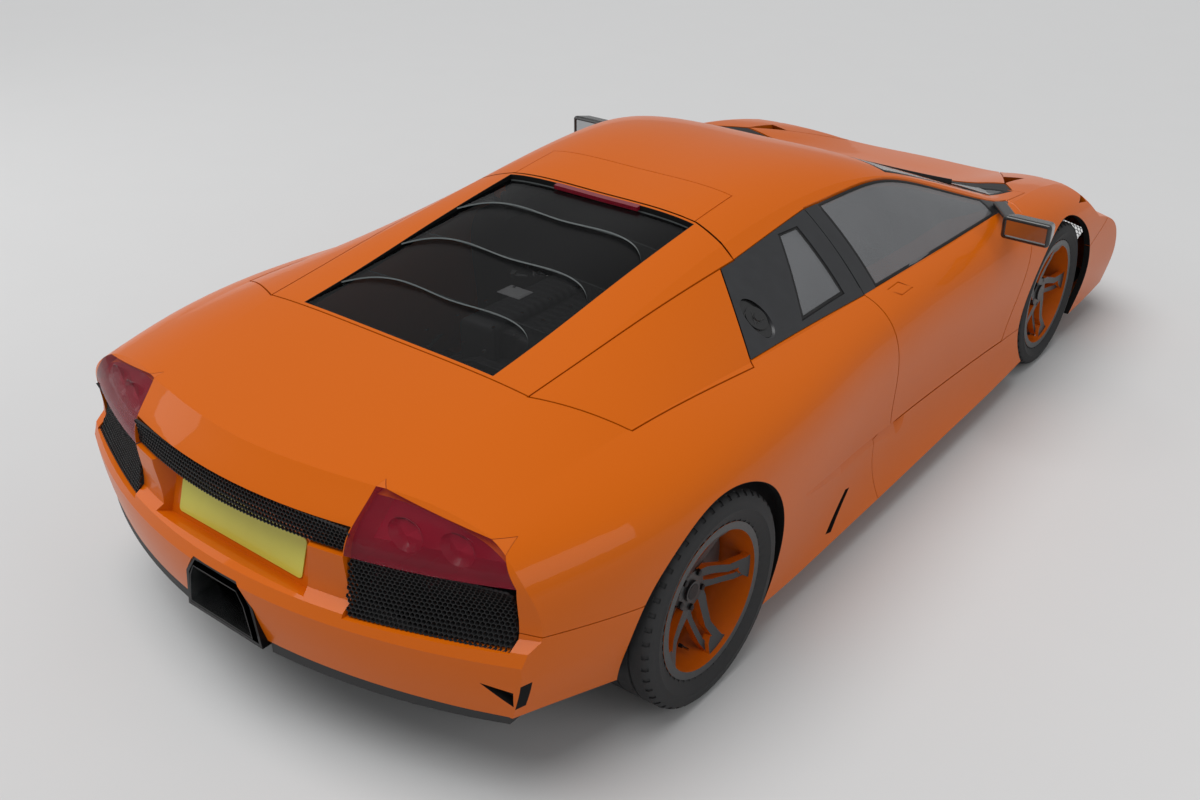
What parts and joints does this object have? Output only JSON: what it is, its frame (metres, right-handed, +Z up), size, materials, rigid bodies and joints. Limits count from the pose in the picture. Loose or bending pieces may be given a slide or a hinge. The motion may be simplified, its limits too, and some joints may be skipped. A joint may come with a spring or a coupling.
{
  "type": "supercar",
  "caption": "Low mid-engined two-seat coupe with doors that swing up from the front, glass engine lid, side intake flaps and a wide tail with a central exhaust.",
  "frame": {"origin": "On the ground under the middle of the car, halfway along and across it.", "axes": "+Z up, the tail towards +Y, the nose towards -Y, the car's left side towards +X."},
  "size_m": [2.24, 4.61, 1.1328],
  "materials": {
    "orange_paint": "gloss metallic orange over a clear coat",
    "black_trim": "gloss black",
    "matt_trim": "fine grained matt black",
    "frame": "woven carbon, satin",
    "cast_alloy": "cast, lightly blasted",
    "disc_steel": "ground",
    "exhaust_steel": "dull, heat tinted",
    "bright_tip": "polished",
    "wheel_dark": "satin dark grey with orange pockets",
    "tyre_rubber": "matt black",
    "dark_glass": "tinted",
    "lamp_glass": "clear over a dark housing",
    "red_glass": "dark red",
    "seat_leather": "soft matt",
    "dash_leather": "stitched, matt",
    "plate_white": "plain pale reflective"
  },
  "bodies": {
    "root": {"chassis": "frame", "undertray": "matt_trim", "front_bumper": "orange_paint", "front_fenders": "orange_paint", "cowl": "black_trim", "roof": "orange_paint", "windscreen": "dark_glass", "side_sills": "orange_paint", "rear_body": "orange_paint", "rear_bumper": "orange_paint", "rear_lips": "black_trim", "quarter_panels": "black_trim", "quarter_glass": "dark_glass", "filler_cap": "black_trim", "engine": "cast_alloy", "seats": "seat_leather", "dashboard": "dash_leather", "head_lamps": "lamp_glass", "tail_lamps": "red_glass", "nose_grilles": "matt_trim", "tail_grilles": "matt_trim", "exhaust": "exhaust_steel", "exhaust_tip": "bright_tip", "number_plate": "plate_white", "wipers": "matt_trim", "front_arms": "cast_alloy", "rear_uprights": "cast_alloy"},
    "upright_left": {"knuckle_left": "cast_alloy"},
    "wheel_front_left": {"front_hub_left": "disc_steel", "front_rim_left": "wheel_dark", "front_tyre_left": "tyre_rubber"},
    "wheel_rear_left": {"rear_hub_left": "disc_steel", "rear_rim_left": "wheel_dark", "rear_tyre_left": "tyre_rubber"},
    "door_left_body": {"door_left": "orange_paint", "door_glass_left": "dark_glass", "window_trim_left": "black_trim", "mirror_left": "orange_paint"},
    "flap_left": {"intake_flap_left": "orange_paint"},
    "upright_right": {"knuckle_right": "cast_alloy"},
    "wheel_front_right": {"front_hub_right": "disc_steel", "front_rim_right": "wheel_dark", "front_tyre_right": "tyre_rubber"},
    "wheel_rear_right": {"rear_hub_right": "disc_steel", "rear_rim_right": "wheel_dark", "rear_tyre_right": "tyre_rubber"},
    "door_right_body": {"door_right": "orange_paint", "door_glass_right": "dark_glass", "window_trim_right": "black_trim", "mirror_right": "orange_paint"},
    "flap_right": {"intake_flap_right": "orange_paint"},
    "front_lid": {"bonnet": "orange_paint"},
    "rear_lid": {"engine_lid": "orange_paint", "lid_panes": "dark_glass", "stop_lamp": "red_glass"},
    "steering": {"steering_wheel": "seat_leather"}
  },
  "joints": [
    {"name": "steer_left", "type": "hinge", "parent": "root", "child": "upright_left", "pos_m": [0.7775, -1.265, 0.3146], "axis": [0, 0, 1], "range_deg": [-30, 30]},
    {"name": "steer_right", "type": "hinge", "parent": "root", "child": "upright_right", "pos_m": [-0.7775, -1.265, 0.3146], "axis": [0, 0, 1], "range_deg": [-30, 30]},
    {"name": "steering_turn", "type": "hinge", "parent": "root", "child": "steering", "pos_m": [-0.37, -0.465, 0.655], "axis": [0, 0.9063, 0.4226], "range_deg": [-390, 390]},
    {"name": "roll_front_left", "type": "hinge", "parent": "upright_left", "child": "wheel_front_left", "pos_m": [0.8175, -1.265, 0.3146], "axis": [1, 0, 0], "continuous": true},
    {"name": "roll_front_right", "type": "hinge", "parent": "upright_right", "child": "wheel_front_right", "pos_m": [-0.8175, -1.265, 0.3146], "axis": [1, 0, 0], "continuous": true},
    {"name": "roll_rear_left", "type": "hinge", "parent": "root", "child": "wheel_rear_left", "pos_m": [0.8475, 1.4, 0.3291], "axis": [1, 0, 0], "continuous": true},
    {"name": "roll_rear_right", "type": "hinge", "parent": "root", "child": "wheel_rear_right", "pos_m": [-0.8475, 1.4, 0.3291], "axis": [1, 0, 0], "continuous": true},
    {"name": "door_left_swing", "type": "hinge", "parent": "root", "child": "door_left_body", "pos_m": [0.8, -1.04, 0.69], "axis": [1, 0, 0], "range_deg": [0, 70]},
    {"name": "door_right_swing", "type": "hinge", "parent": "root", "child": "door_right_body", "pos_m": [-0.8, -1.04, 0.69], "axis": [1, 0, 0], "range_deg": [0, 70]},
    {"name": "bonnet_lift", "type": "hinge", "parent": "root", "child": "front_lid", "pos_m": [0, -1.415, 0.618], "axis": [-1, 0, 0], "range_deg": [0, 55]},
    {"name": "engine_lid_lift", "type": "hinge", "parent": "root", "child": "rear_lid", "pos_m": [0, 0.695, 1.008], "axis": [1, 0, 0], "range_deg": [0, 45]},
    {"name": "flap_left_lift", "type": "hinge", "parent": "root", "child": "flap_left", "pos_m": [0.53, 1.628, 0.922], "axis": [-0.8977, 0.3867, 0.2113], "range_deg": [0, 20]},
    {"name": "flap_right_lift", "type": "hinge", "parent": "root", "child": "flap_right", "pos_m": [-0.53, 1.628, 0.922], "axis": [-0.8977, -0.3867, -0.2113], "range_deg": [0, 20]}
  ],
  "couplings": [
    {"joint": "steer_right", "follows": "steer_left", "ratio": 1},
    {"joint": "steering_turn", "follows": "steer_left", "ratio": 13}
  ]
}
